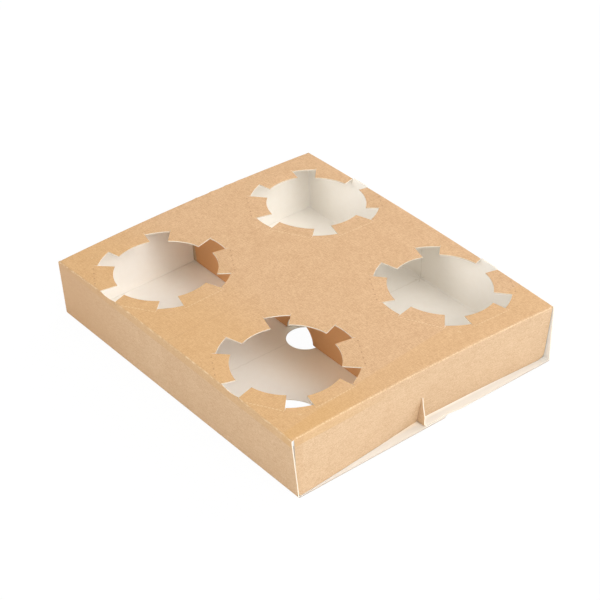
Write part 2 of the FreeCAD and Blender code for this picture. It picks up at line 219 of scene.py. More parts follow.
foot_of_divider = (spans[DIVIDER, 1] + spans[BASE_LAP, 0]) / 2
base_cuts = [
    arc(BASE_HOLE, 0.0, 2 * np.pi)[:-1] + (SEAT_X, on_left_base(-SEAT_Y)),
    arc(BASE_HOLE, 0.0, 2 * np.pi)[:-1] + (-SEAT_X, on_left_base(-SEAT_Y)),
    arc(FOOT_HOLE, 0.0, 2 * np.pi)[:-1] + (0.0, foot_of_divider),
    arc(LAP_HOLE, 0.0, 2 * np.pi)[:-1] + (LAP_HOLE_PLACE[0], on_left_base(LAP_HOLE_PLACE[1])),
]

# The end flaps hang from the top panel. Each has rounded lower corners and a slit from its lower
# edge, which straddles the end of the divider and locks there. The left sides press on the left
# wall low down and gape above.

END_FOLD = 0.8
FLAP_SIDE = 94.7
FLAP_LOOSE_SIDE = 94.1
FLAP_TIGHT_SIDE = 95.2
FLAP_TIGHT_HEIGHT = 21.0
FLAP_FOOT = 0.8
FLAP_CORNER = 4.5
FLAP_SHARP_CORNER = 1.5
SLIT_TOP = 20.0
FLAP_SLIT = 1.4

end_bend_start = HALF_LENGTH - END_FOLD
end_bend_length = END_FOLD * math.pi / 2


def down_flap(z):
    """Distance out along the blank of a height on an end flap."""
    return end_bend_start + end_bend_length + CROWN - END_FOLD - z


def flap_outline():
    """The right-hand end flap's cut from its right side round to its left side, as (x, s)."""
    foot = down_flap(FLAP_FOOT)
    lapped_foot = down_flap(FLAP_FOOT + BOARD)
    slit_middle = DIVIDER_FACE + BOARD / 2
    sides = [slit_middle + FLAP_SLIT / 2, slit_middle - FLAP_SLIT / 2]
    round_right = arc(FLAP_CORNER, np.pi / 2, 0.0)
    round_left = arc(FLAP_SHARP_CORNER, 0.0, -np.pi / 2)
    places = [
        [(HALF_LENGTH, FLAP_SIDE)],
        round_right + (foot - FLAP_CORNER, FLAP_SIDE - FLAP_CORNER),
        [(lapped_foot, sides[0]), (down_flap(SLIT_TOP), sides[0] - FLAP_SLIT / 3)],
        [(down_flap(SLIT_TOP), sides[1] + FLAP_SLIT / 3), (foot, sides[1])],
        round_left + (foot - FLAP_SHARP_CORNER, FLAP_SHARP_CORNER - FLAP_TIGHT_SIDE),
        [(down_flap(FLAP_TIGHT_HEIGHT), -FLAP_TIGHT_SIDE), (HALF_LENGTH, -FLAP_LOOSE_SIDE)],
    ]
    cut = np.concatenate([np.array(place) for place in places])
    return np.stack([cut[:, 0], on_top(cut[:, 1])], axis=1)


# The blank's outer cut, which the die makes in one stroke and which is alike at both ends. Above
# an end flap's slit the divider stops short of the flap, and below the slit's top a rounded ear of
# the divider reaches out through it.

WEB_TOP_END = 108.4
WEB_SLIT_END = 105.0
EAR = [(106.6, 20.0), (107.4, 14.0), (108.9, 7.5), (108.7, 2.0)]
GLUE_FLAP_END = 97.0
SHORT_LAP_END = 109.0
CORNER_CUT = 3.0
FLAP_CLEARANCE = 4.0
LONG_LAP_CORNER = (2.5, 5.0)


def right_side():
    """The blank's right-hand cut from the top glue flap to the base's glue flap, as (x, s)."""
    ear = [(x, on_divider(z)) for x, z in EAR]
    corner_x, corner_s = LONG_LAP_CORNER
    end = spans[LEFT_BASE, 1]
    return np.concatenate(
        [
            [(GLUE_FLAP_END - CORNER_CUT, 0.0), (GLUE_FLAP_END, CORNER_CUT)],
            [(GLUE_FLAP_END, spans[GLUE_FLAP, 1]), (WEB_TOP_END, spans[DIVIDER, 0])],
            [(WEB_SLIT_END, on_divider(SLIT_TOP))],
            ear,
            [(SHORT_LAP_END, spans[BASE_LAP, 0])],
            [(SHORT_LAP_END, spans[BASE_LAP, 1] - CORNER_CUT)],
            [(HALF_LENGTH, spans[RIGHT_BASE, 0] + FLAP_CLEARANCE)],
            flap_outline(),
            [(HALF_LENGTH, end - corner_s), (HALF_LENGTH - corner_x, end)],
        ]
    )


LONG_SIDE = 5.0
TINY = 1e-6
POINTS_AT_ONCE = 2000


def finely_cut(corners):
    """A closed cut with points added: on a long side at every row that it crosses, and on any
    other at the rows' spacing."""
    made = []
    for start, end in zip(corners, np.roll(corners, -1, axis=0)):
        length = math.dist(start, end)
        parts = np.linspace(0.0, 1.0, max(int(length / ROW), 1) + 1)[:-1]
        if abs(end[1] - start[1]) > ROW and length > LONG_SIDE:
            crossed = (rows - start[1]) / (end[1] - start[1])
            crossed = crossed[(crossed > TINY) & (crossed < 1.0 - TINY)]
            parts = np.unique(np.concatenate([[0.0], crossed]))
        made.append(start + parts[:, None] * (end - start))
    return np.concatenate(made)


right_cut = right_side()
outer_cut = finely_cut(np.concatenate([right_cut, right_cut[::-1] * (-1, 1)]))


def clear_of_cuts(points, cuts, gap):
    """The points that are at least gap from every point of the cuts."""
    kept = points
    for cut in cuts:
        near = np.all((kept > cut.min(0) - gap) & (kept < cut.max(0) + gap), axis=1)
        tested = np.flatnonzero(near)
        for block in np.array_split(tested, max(len(tested) // POINTS_AT_ONCE, 1)):
            apart = np.linalg.norm(kept[block][:, None] - cut[None], axis=2).min(axis=1)
            near[block] = apart < gap
        kept = kept[~near]
    return kept


def inside(points, loop):
    """Which points lie inside a closed loop: a line from such a point crosses it an odd number of
    times on its way along +x."""
    near = np.flatnonzero(np.all((points > loop.min(0)) & (points < loop.max(0)), axis=1))
    x, y = points[near].T[:, :, None]
    start, end = loop.T, np.roll(loop, -1, axis=0).T
    spans_it = (start[1] > y) != (end[1] > y)
    rise = np.where(start[1] == end[1], 1.0, end[1] - start[1])
    crossing = start[0] + (y - start[1]) * (end[0] - start[0]) / rise
    found = np.zeros(len(points), bool)
    found[near] = np.sum(spans_it & (crossing > x), axis=1) % 2 == 1
    return found


def board_mesh(outer, holes, points):
    """Triangles of the flat blank: the cuts are its closed edges, the points lie between them."""
    cuts = [outer, *holes]
    loops = np.cumsum([0] + [len(cut) for cut in cuts])
    edges = []
    for first, last in zip(loops[:-1], loops[1:]):
        index = np.arange(first, last)
        edges.append(np.stack([index, np.roll(index, -1)], axis=1))
    flat = np.concatenate([*cuts, points])
    inside_the_cuts = 1
    found = delaunay_2d_cdt(
        flat.tolist(), np.concatenate(edges).tolist(), [], inside_the_cuts, 10 * TINY, False
    )
    places = np.array([tuple(place) for place in found[0]])
    triangles = np.array(found[2])
    middles = places[triangles].mean(axis=1)
    board = inside(middles, outer)
    for hole in holes:
        board &= ~inside(middles, hole)
    used, triangles = np.unique(triangles[board], return_inverse=True)
    return places[used], triangles.reshape(-1, 3)


ROOM_AT_CUTS = 0.75
AT_END_BEND = [0.0, 0.2, 0.4, 0.6, 0.8, 1.0]
PAST_END_BEND = [2.0, 3.2]

columns = np.linspace(-HALF_LENGTH, HALF_LENGTH, 2 * int(HALF_LENGTH / ROW) + 1)
end_rows = np.concatenate([np.array(AT_END_BEND) * end_bend_length, PAST_END_BEND])
flap_columns = end_bend_start + np.concatenate([end_rows, np.arange(5.0, CROWN - BOARD, ROW)])
body_points = np.stack(np.meshgrid(columns[1:-1], rows[1:-1]), axis=-1).reshape(-1, 2)
flap_rows = rows[(rows > on_top(FLAP_SIDE)) & (rows < on_top(-FLAP_SIDE))]
flap_points = np.stack(np.meshgrid(flap_columns, flap_rows), axis=-1).reshape(-1, 2)
on_flap_side = (np.abs(body_points[:, 0]) > end_bend_start - ROW / 2) & (
    np.abs(body_points[:, 1] - on_top(0.0)) < FLAP_SIDE
)
grid_points = np.concatenate([body_points[~on_flap_side], flap_points, flap_points * (-1, 1)])
hole_cuts = [finely_cut(cut) for cut in seat_cuts] + base_cuts
grid_points = clear_of_cuts(grid_points, [outer_cut, *hole_cuts], ROOM_AT_CUTS)
flat_places, triangles = board_mesh(outer_cut, hole_cuts, grid_points)

# Folding. The strip is bent round the profile, the end flaps are bent down, and the board then
# settles as the real one has: it bows between its props, and one corner stands higher.

BOW_ALONG = 2.15
BOW_ACROSS = 2.52
TWIST = 1.32
LEFT_LEAN = 3.35
LEFT_LEAN_TWIST = 1.05
LEAN_START = 55.0
TAB_ROOT = 40.56
TAB_HALF_WIDTH = 13.65

is_top = np.abs(flat_places[:, 1] - on_top(0.0)) < FLAP_TIGHT_SIDE + 0.05
on_top_panel = is_top & (np.abs(flat_places[:, 0]) < HALF_LENGTH)


def smooth(value, start, end):
    """0 before start and 1 after end, with an even S between them."""
    part = np.clip((value - start) / (end - start), 0.0, 1.0)
    return part * part * (3.0 - 2.0 * part)


def tab_places(x, y):
    """The nearest tab of the nearest seat, counted round from +X, then how far a place is past
    that tab's straight hinge, and how far it is beside the tab's middle line."""
    seat_x = x - SEATS_OFF_X - np.where(x > SEATS_OFF_X, SEAT_X, -SEAT_X)
    seat_y = y - SEATS_OFF_Y - np.where(y > SEATS_OFF_Y, SEAT_Y, -SEAT_Y)
    angle = np.arctan2(seat_y, seat_x)
    apart = math.tau / NOTCHES
    tab = np.round(angle / apart)
    within = angle - tab * apart
    radius = np.hypot(seat_x, seat_y)
    return np.mod(tab, NOTCHES), TAB_ROOT - radius * np.cos(within), radius * np.sin(within)


MEAN_SLOPE = 0.035
SLOPE_SPREAD = 0.03
TAB_TAPER = 0.24
HINGE_HALF_WIDTH = 0.4


def tab_droop(x, y):
    """How far the cup tabs droop: the distance past the tab's straight hinge times its slope,
    which is the mean slope and a sine of the tab's own number."""
    tab, inwards, beside = tab_places(x, y)
    on_tab = (inwards > 0) & (np.abs(beside) < TAB_HALF_WIDTH + TAB_TAPER * (0.5 - inwards))
    which = tab + 7.0 * (x > 0) + 13.0 * (y > 0)
    slope = MEAN_SLOPE + SLOPE_SPREAD * np.sin(2.4 * which)
    return np.where(on_tab, slope * np.maximum(inwards - HINGE_HALF_WIDTH, 0.0), 0.0)


PRESS_PLACES = np.array([-95.0, -60.0, -30.0, -2.0, 20.0, 45.0, 70.0, 95.0])
RIGHT_PRESS = np.array([0.2, 2.4, 4.8, 7.2, 6.8, 6.1, 4.9, 3.5])
LEFT_PRESS = np.array([5.5, 5.4, 5.0, 4.1, 3.6, 2.7, 1.4, 0.8])


def pressed_in(y, amounts):
    """How far an end flap's foot is pushed in: a smooth cubic through the amounts at the places,
    which at each place has the slope of the line between its two neighbours."""
    place = np.interp(y, PRESS_PLACES, np.arange(len(PRESS_PLACES)))
    before = np.clip(place.astype(int), 1, len(amounts) - 3)
    part = place - before
    a, b, c, d = (amounts[before + offset] for offset in (-1, 0, 1, 2))
    cubic = 3 * (b - c) + d - a
    square = 2 * a - 5 * b + 4 * c - d
    return b + 0.5 * part * (c - a + part * (square + part * cubic))


def settled(x, y, z, on_end_flap):
    """The tray at rest. Heights change in proportion to height: the top bows down along and
    across, and twists. The left wall's foot and the feet of the end flaps stand in."""
    height = np.clip(z / CROWN, 0.0, 1.0)
    along = x / HALF_LENGTH
    across = y / HALF_DEPTH
    bow = BOW_ALONG * along**2 + BOW_ACROSS * across**2 + TWIST * along * across
    lean = (LEFT_LEAN + LEFT_LEAN_TWIST * along) * smooth(-y, LEAN_START, HALF_DEPTH)
    press = np.where(x > 0, pressed_in(y, RIGHT_PRESS), pressed_in(y, LEFT_PRESS))
    inwards = np.where(on_end_flap, press * (1.0 - height), 0.0)
    return x - np.sign(x) * inwards, y + lean * (1.0 - height), z - bow * height


NICKS = ((5.5, 0.6), (17.5, 0.8), (29.5, 0.85), (39.0, 0.7))
NICKED_FROM_END = (1.6, 0.4)
NICKED_FROM_CROWN = (3.5, 0.8)
CRUMPLE_X = 14.0
CRUMPLE_LENGTH = 20.0
CRUMPLE_WIDTH = 2.2
CRUMPLE_DEPTH = 0.5
CRUMPLE_WAVES = (2.3, 3.9)


def knocked(x, y, z):
    """Small dents: nicks torn up along the far end's fold, each its height times
    exp(-(distance in mm)^2), and a crumpled stretch of the fold at the right wall's foot, a
    product of two sines that fades with exp(-(distance / length)^2) along and across."""
    at_end = smooth(-x, *(HALF_LENGTH - inset for inset in NICKED_FROM_END))
    at_fold = at_end * smooth(z, *(CROWN - drop for drop in NICKED_FROM_CROWN))
    for place, height in NICKS:
        z = z + at_fold * height * np.exp(-((y - place) ** 2))
    from_foot = np.hypot(y - HALF_DEPTH, z) / CRUMPLE_WIDTH
    fading = np.exp(-(((x - CRUMPLE_X) / CRUMPLE_LENGTH) ** 2) - from_foot**2)
    waves = np.sin(x / CRUMPLE_WAVES[0]) * np.sin(x / CRUMPLE_WAVES[1] + 1.0)
    dent = CRUMPLE_DEPTH * np.maximum(waves, 0.0) * fading
    return x, y - dent, z + dent


STRIP_HALF_WIDTH = 6.5
STRIP_FLARE = 0.3
STRIP_SLACK = 0.2


def on_strip(x, s):
    """Which places are on the strip between a right-hand seat's notch and the wall's fold: above
    the wall, and nearer the notch's middle line than its slanting sides."""
    past_notch = on_top(SEAT_Y + SEATS_OFF_Y + STRIP_END) - s
    beside = np.abs(np.abs(x - SEATS_OFF_X) - SEAT_X)
    above_wall = (s > spans[RIGHT_WALL, 1]) & (past_notch > -STRIP_SLACK)
    return above_wall & (beside < STRIP_HALF_WIDTH + STRIP_FLARE * past_notch)


def folded(places, depth):
    """The folded place of each point of the blank, this deep in the board from its brown face.
    The strips beside the notches at the fold aren't bent: they stand straight up on the wall."""
    x, s = places[:, 0], places[:, 1]
    normal_y = np.interp(s, rows, row_normals[:, 0])
    normal_z = np.interp(s, rows, row_normals[:, 1])
    y = np.interp(s, rows, row_places[:, 0]) - depth * normal_y
    z = np.interp(s, rows, row_places[:, 1]) - depth * normal_z
    upright = on_strip(x, s)
    y = np.where(upright, HALF_DEPTH - depth, y)
    z = np.where(upright, CROWN - FOLD_RADIUS + s - spans[RIGHT_WALL, 1], z)
    past = np.where(is_top, np.maximum(np.abs(x) - end_bend_start, 0.0), 0.0)
    turn = np.minimum(past / END_FOLD, np.pi / 2)
    bent = past > 0
    radius = END_FOLD - depth
    hanging = np.maximum(past - end_bend_length, 0.0)
    bent_x = np.sign(x) * (end_bend_start + radius * np.sin(turn))
    bent_z = CROWN - END_FOLD + radius * np.cos(turn) - hanging
    x = np.where(bent, bent_x, x)
    z = np.where(bent, bent_z, z)
    z = z - np.where(is_top & ~bent, tab_droop(x, y), 0.0)
    x, y, z = knocked(x, y, z)
    return np.stack(settled(x, y, z, bent), axis=1)


brown_face = folded(flat_places, 0.0)
white_face = folded(flat_places, BOARD)

# The board is a closed sheet: brown skin, white skin, and a cut edge wherever a triangle's side
# belongs to no other triangle.


def cut_sides(faces):
    """The sides that only one triangle has, in that triangle's own direction."""
    sides = np.concatenate([faces[:, [0, 1]], faces[:, [1, 2]], faces[:, [2, 0]]])
    ordered = np.sort(sides, axis=1)
    _, first, count = np.unique(ordered, axis=0, return_index=True, return_counts=True)
    return sides[first[count == 1]]


def turned_up(places, faces):
    """The triangles with their corners in left-hand order in the flat blank, so that their
    folded brown side faces out."""
    a, b, c = (places[faces[:, corner]] for corner in range(3))
    area = (b[:, 0] - a[:, 0]) * (c[:, 1] - a[:, 1]) - (b[:, 1] - a[:, 1]) * (c[:, 0] - a[:, 0])
    return np.where((area > 0)[:, None], faces[:, ::-1], faces)


faces = turned_up(flat_places, triangles)
count = len(flat_places)
rim = cut_sides(faces)
rim_quads = np.stack([rim[:, 1], rim[:, 0], rim[:, 0] + count, rim[:, 1] + count], axis=1)

carrier_mesh = bpy.data.meshes.new("carrier_sheet_board")
carrier_mesh.from_pydata(
    (np.concatenate([brown_face, white_face]) * MM).tolist(),
    [],
    [*faces.tolist(), *(faces[:, ::-1] + count).tolist(), *rim_quads.tolist()],
)
face_slots = np.repeat([0, 1, 2], [len(faces), len(faces), len(rim_quads)])
carrier_mesh.polygons.foreach_set("material_index", face_slots.astype(np.int32))
carrier_mesh.polygons.foreach_set("use_smooth", np.ones(len(face_slots), bool))
edge_ends = np.zeros(2 * len(carrier_mesh.edges), np.int32)
carrier_mesh.edges.foreach_get("vertices", edge_ends)
edge_ends = np.sort(edge_ends.reshape(-1, 2), axis=1)
rim_ends = np.sort(np.concatenate([rim, rim + count]), axis=1)
keys = edge_ends[:, 0].astype(np.int64) * (2 * count) + edge_ends[:, 1]
rim_keys = rim_ends[:, 0].astype(np.int64) * (2 * count) + rim_ends[:, 1]
sharp = carrier_mesh.attributes.new("sharp_edge", "BOOLEAN", "EDGE")
sharp.data.foreach_set("value", np.isin(keys, rim_keys))

FAR_AWAY = 99.0
WEAR_AT_FOLD = 1.3
WEAR_WIDTH = 1.1

# The attribute fold_wear is 1 on a fold, and falls to 0 at 1.4 mm beside it.
fold_middles = (spans[:-1, 1] + spans[1:, 0]) / 2
from_fold = np.abs(flat_places[:, 1][:, None] - fold_middles[None]).min(axis=1)
from_end_fold = np.abs(np.abs(flat_places[:, 0]) - end_bend_start - end_bend_length / 2)
from_end_fold = np.where(is_top, from_end_fold, FAR_AWAY)
fold_wear = WEAR_AT_FOLD - np.minimum(from_fold, from_end_fold) / WEAR_WIDTH
fold_wear = np.clip(fold_wear, 0.0, 1.0)
worn = carrier_mesh.attributes.new("fold_wear", "FLOAT", "POINT")
worn.data.foreach_set("value", np.tile(fold_wear, 2).astype(np.float32))

NICKED = 1.0
FLUFFED = 2.0
SCORED = 3.0
HINGE_LOOKS = np.array([FLUFFED, NICKED, SCORED, SCORED, NICKED, FLUFFED])

# The attribute hinge_place says how far a point is beside the middle line of the nearest tab, how
# far it is past that tab's hinge, and how the hinge looks. Off the top panel, past is far away.
tab, past_hinge, beside_tab = tab_places(flat_places[:, 0], on_top(0.0) - flat_places[:, 1])
past_hinge = np.where(on_top_panel, past_hinge, FAR_AWAY)
hinge_place = np.stack([beside_tab, past_hinge, HINGE_LOOKS[tab.astype(int)]], axis=1)
hinges = carrier_mesh.attributes.new("hinge_place", "FLOAT_VECTOR", "POINT")
hinges.data.foreach_set("vector", np.tile(hinge_place, (2, 1)).astype(np.float32).ravel())
carrier_mesh.update()

carrier = bpy.data.objects.new("carrier_sheet_board", carrier_mesh)
bpy.context.collection.objects.link(carrier)
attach(carrier, "root")
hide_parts("carrier_sheet")

# The brown face: unbleached kraft paper. Its colour varies in soft clouds and short fibres. It is
# scuffed pale along the folds and nicked along the tabs' hinges. Painted sheen makes the walls and
# end flaps paler and less orange. Painted shade darkens the crease across the tray's middle, each
# hinge's score, the front wall and the top's bent-down ends, and turns the divider a deeper orange.


class Wire:
    """A shader socket. An expression on it adds the Math nodes that work it out."""

    def __init__(self, maker, socket):
        self.maker = maker
        self.socket = socket

    def math(self, operation, *others):
        """One Math node, which takes this value first."""
        return self.maker.add("ShaderNodeMath", {"operation": operation}, self, *others)

    def __add__(self, other):
        return self.math("ADD", other)

    __radd__ = __add__

    def __mul__(self, other):
        return self.math("MULTIPLY", other)

    __rmul__ = __mul__

    def __sub__(self, other):
        return self.math("SUBTRACT", other)

    def __rsub__(self, other):
        return self * -1.0 + other

    def __lt__(self, other):
        return self.math("LESS_THAN", other)

    def __gt__(self, other):
        return self.math("GREATER_THAN", other)

    def size(self):
        """The value without its sign."""
        return self.math("ABSOLUTE")

    def between(self, start, end):
        """0 at start and 1 at end, with an even S between them."""
        settings = {"interpolation_type": "SMOOTHSTEP"}
        return self.maker.add("ShaderNodeMapRange", settings, self, start, end)


class Finish:
    """The look of a new material or world, whose nodes are added one by one."""

    def __init__(self, owner):
        self.owner = owner
        owner.use_nodes = True
        self.tree = owner.node_tree
        self.tree.nodes.clear()

    def add(self, kind, settings=None, *values, output=0, **named):
        """Adds a node of this type, makes its settings, and gives its sockets values or links."""
        node = self.tree.nodes.new(kind)
        for name, setting in (settings or {}).items():
            setattr(node, name, setting)
        for key, given in (*enumerate(values), *named.items()):
            socket = node.inputs[key.replace("_", " ") if isinstance(key, str) else key]
            if isinstance(given, Wire):
                self.tree.links.new(given.socket, socket)
            elif given is not None:
                socket.default_value = given
        return Wire(self, node.outputs[output]) if node.outputs else None

    def mixed(self, factor, first, second):
        """A colour between two, by a factor. The Mix node's colours come after five sockets for
        numbers and vectors, and its mixed colour is its third output."""
        colour_kind = {"data_type": "RGBA"}
        unset = [None] * 5
        return self.add("ShaderNodeMix", colour_kind, factor, *unset, first, second, output=2)

    def parts(self, vector):
        """The x, y and z of a vector."""
        outputs = self.add("ShaderNodeSeparateXYZ", None, vector).socket.node.outputs
        return [Wire(self, output) for output in outputs]

    def noise(self, place, scale, detail=2.0, roughness=0.5):
        """Soft noise, about 0.5, at a place."""
        return self.add(
            "ShaderNodeTexNoise", None, Vector=place, Scale=scale, Detail=detail, Roughness=roughness
        )

    def finished(self, shader):
        """The material, with this shader on its surface."""
        self.add("ShaderNodeOutputMaterial", None, shader)
        return self.owner


def place_in_mm(finish, stretch=(1.0, 1.0, 1.0), turn=0.0):
    """Object coordinates in millimetres, turned about Z and stretched."""
    place = finish.add("ShaderNodeTexCoord", output=3)
    size = tuple(factor / MM for factor in stretch)
    return finish.add("ShaderNodeMapping", None, place, None, (0.0, 0.0, turn), size)


KRAFT_DARK = (0.447, 0.265, 0.130, 1.0)
KRAFT_PALE = (0.598, 0.388, 0.221, 1.0)
SHEENED_SIDE_DARK = (0.459, 0.297, 0.163, 1.0)
SHEENED_SIDE_PALE = (0.611, 0.438, 0.277, 1.0)
KRAFT_ORANGE = (0.53, 0.29, 0.07, 1.0)
DIVIDER_SHADE_ORANGE = (0.655, 0.300, 0.108, 1.0)
SCUFFED = (0.70, 0.53, 0.34, 1.0)
NICK = (0.28, 0.14, 0.06, 1.0)
PAPER_ROUGHNESS = 0.7
PAPER_SHINE = 0.4
GRAIN_SCALE = 1.4
GRAIN_SHARE = 1.5
CLOUD_SHARE = 0.25
FIBRE_SHARE = 0.6

kraft = Finish(bpy.data.materials.new("brown_kraft_paper"))
here = place_in_mm(kraft)
along, across, up = kraft.parts(here)
grain = kraft.noise(here, GRAIN_SCALE, 4.0, 0.7)
clouds = kraft.noise(here, 0.09, 2.0)
fibres_one = kraft.noise(place_in_mm(kraft, (0.35, 2.0, 2.0), 0.5), 0.9, 1.0)
fibres_two = kraft.noise(place_in_mm(kraft, (2.0, 0.35, 2.0), 0.3), 0.9, 1.0)
fibres = (fibres_one + fibres_two - 1.0) * FIBRE_SHARE
tone = 0.5 + (grain - 0.5) * GRAIN_SHARE + (clouds - 0.5) * CLOUD_SHARE + fibres
from_hinge = kraft.add("ShaderNodeAttribute", {"attribute_name": "hinge_place"}, output=1)
beside, past, look = kraft.parts(from_hinge)
# Painted sheen: off the top panel, the walls and end flaps take a paler, bluer copy of the kraft,
# which stands for the glossy reflection on them.
on_side = past > FAR_AWAY / 2
darker = kraft.mixed(on_side, KRAFT_DARK, SHEENED_SIDE_DARK)
paler = kraft.mixed(on_side, KRAFT_PALE, SHEENED_SIDE_PALE)
paper = kraft.mixed(tone.between(0.1, 0.9), darker, paler)

DIVIDER_SHADE_END_GAP = 2.6
DIVIDER_SHADE_FLARE = 0.16
DIVIDER_SHADE_TOP = 3.0

# Painted shade: the divider's face is made a deeper orange for the shade there, tinted as by light
# bounced off the kraft around it.
beside_divider = (across.size() < 3.0) * (along.size() - up * DIVIDER_SHADE_FLARE < WEB_SLIT_END - DIVIDER_SHADE_END_GAP)
on_divider_face = beside_divider * (up > BOARD) * (up < UNDER_TOP - DIVIDER_SHADE_TOP)
paper = kraft.mixed(on_divider_face * 0.85, paper, DIVIDER_SHADE_ORANGE)

HIGH_UP = 36.0
BAND_SLANT = 0.1
BAND_START = 92.2
BAND_SOFTNESS = 1.2

# Painted shade: the top's ends, where they bend down toward the end folds, are made more orange. The
# top's near (-Y) side is made a deeper orange too.
band = (along + across * BAND_SLANT).between(BAND_START, BAND_START + BAND_SOFTNESS)
bend_shade_band = band * (along < HALF_LENGTH - 1.4) * (up > HIGH_UP)
left_side = (across * -1.0).between(20.0, 75.0) * (up > HIGH_UP)
paper = kraft.mixed(bend_shade_band * 0.16 + left_side * 0.28, paper, KRAFT_ORANGE)

LEFT_WALL_EDGE = -88.0

# Painted shade: the front (-Y) wall is darkened, more so toward the far (-X) end.
far_end_shade = 0.2 + (along * -1.0).between(10.0, 120.0) * 0.6
paper = kraft.mixed(far_end_shade * (across < LEFT_WALL_EDGE) * on_side, paper, KRAFT_DARK)

# Painted shade: the crease across the tray's middle is darkened.
crease = (along + (clouds - 0.5) * 1.5).size().between(0.55, 0.1)
paper = kraft.mixed(crease * 0.3, paper, KRAFT_DARK)

DOT_SPACING = 5.2
DOT_SIZE = 0.65
DASH_SPACING = 2.1
DASH_GAP = 0.35
AFTER_NICKED = (NICKED + FLUFFED) / 2
AFTER_FLUFFED = (FLUFFED + SCORED) / 2

on_hinge = beside.size() < TAB_HALF_WIDTH
from_dot = beside.math("PINGPONG", DOT_SPACING / 2)
dot_distance = (from_dot * from_dot + past * past).math("SQRT")
dots = on_hinge * (look < AFTER_NICKED) * dot_distance.between(DOT_SIZE, 0.25)
score = on_hinge * past.size().between(0.38, 0.12)
fluffed = score * (look > AFTER_NICKED) * (look < AFTER_FLUFFED)
dashes = fluffed * (beside.math("PINGPONG", DASH_SPACING / 2) > DASH_GAP)
# Painted shade: the score line along each tab's hinge is darkened.
paper = kraft.mixed(score * 0.18, paper, KRAFT_DARK)
paper = kraft.mixed(dots * 0.75, paper, NICK)
paper = kraft.mixed(dashes * 0.55, paper, SCUFFED)

wear = kraft.add("ShaderNodeAttribute", {"attribute_name": "fold_wear"}, output=2)
at_end = (along.size() > HALF_LENGTH - 3.0) * (up > CROWN / 2)
torn_fibres = kraft.noise(place_in_mm(kraft, (0.5, 1.6, 1.6)), 0.6, 3.0, 0.7)
cracks = wear.between(0.55, 0.95) * torn_fibres
fine_line = at_end * wear.between(0.9, 1.0) * grain.between(0.35, 0.6) * 0.3
paper = kraft.mixed(cracks.between(0.46, 0.62) * 0.7, paper, SCUFFED)
paper = kraft.mixed(fine_line, paper, SCUFFED)
kraft_bump = kraft.add("ShaderNodeBump", None, Strength=0.35, Distance=0.0001, Height=grain)
kraft_shader = kraft.add(
    "ShaderNodeBsdfPrincipled", None,
    Base_Color=paper, Roughness=PAPER_ROUGHNESS, Specular_IOR_Level=PAPER_SHINE, Normal=kraft_bump,
)
carrier_mesh.materials.append(kraft.finished(kraft_shader))

# The white face: a bleached lining paper, slightly warm and smoother than the kraft. The lips of
# the base and walls beyond the near end flap are greyed with painted shade, and toward the divider
# the lining is tinted tan with painted light bounced off the kraft. Where the crease across the
# middle meets the right wall's fold, the paper is crumpled into a small star, whose rays and the
# crease are drawn in painted shade.

LINING = (0.965, 0.925, 0.86, 1.0)
LINING_SHADE = (0.955, 0.91, 0.84, 1.0)
LIP_SHADE = (0.66, 0.64, 0.595, 1.0)
CREASE_SHADE = (0.70, 0.64, 0.54, 1.0)
PALE_FOLD_LINE = (0.99, 0.97, 0.93, 1.0)
KRAFT_BOUNCE_TINT = (0.96, 0.81, 0.60, 1.0)
BOUNCE_TINT_START = -48.0
BOUNCE_TINT_END = -6.0
LIP_START = 8.0
LIP_END = 4.0
STAR_SPOKES = 3.5
STAR_SIZE = 6.0
PALE_FOLD_LINE_HEIGHT = 1.3

lining = Finish(bpy.data.materials.new("white_lining_paper"))
here = place_in_mm(lining)
lining_tone = lining.noise(here, 0.25, 3.0).between(0.3, 0.7)
lining_colour = lining.mixed(lining_tone, LINING_SHADE, LINING)
along, across, up = lining.parts(here)
# Painted light: toward the divider the lining is tinted tan, as light bounced off the kraft would
# tint it.
toward_divider = across.between(BOUNCE_TINT_START, BOUNCE_TINT_END) * (across < 0.0)
bounce_tint = toward_divider * (0.2 + along.between(-30.0, 30.0) * 0.5)
lining_colour = lining.mixed(bounce_tint, lining_colour, KRAFT_BOUNCE_TINT)
# Painted shade: the lips of the base and walls at the +X end are greyed.
on_base_or_wall = (up < 2.0).math("MAXIMUM", across.size() > FLAP_LOOSE_SIDE)
on_lip = along.between(HALF_LENGTH - LIP_START, HALF_LENGTH - LIP_END) * on_base_or_wall
lining_colour = lining.mixed(on_lip * 0.85, lining_colour, LIP_SHADE)
wobble = lining.noise(here, 0.3, 3.0) - 0.5
up_the_fold = up + across - (HALF_DEPTH - BOARD)
from_star = (along * along + up_the_fold * up_the_fold).math("SQRT")
star_angle = up_the_fold.math("ARCTAN2", along)
spokes = (star_angle * STAR_SPOKES + wobble * 5.0).math("SINE").size().between(0.35, 0.08)
star = spokes * from_star.between(STAR_SIZE, STAR_SIZE / 4)
# A paler line along the right wall's fold, just above the base, which also dents the bump.
near_fold = (across > HALF_DEPTH - 4.0) * (along - CRUMPLE_X).size().between(38.0, 20.0)
pale_fold_line = near_fold * (up - PALE_FOLD_LINE_HEIGHT + wobble * 3.0).size().between(0.5, 0.1)
middle_crease = (along + wobble * 2.0).size().between(0.6, 0.15) * 0.35
lining_colour = lining.mixed(pale_fold_line * 0.7, lining_colour, PALE_FOLD_LINE)
# Painted shade: the star's rays and the crease across the middle are darkened.
lining_colour = lining.mixed(star.math("MAXIMUM", middle_crease) * 0.75, lining_colour, CREASE_SHADE)
rough = lining.noise(here, GRAIN_SCALE, 2.0) * 0.15 - star - pale_fold_line * 0.5
lining_bump = lining.add("ShaderNodeBump", None, Strength=0.5, Distance=0.0002, Height=rough)
lining_shader = lining.add(
    "ShaderNodeBsdfPrincipled", None, Base_Color=lining_colour, Roughness=0.55, Normal=lining_bump
)
carrier_mesh.materials.append(lining.finished(lining_shader))

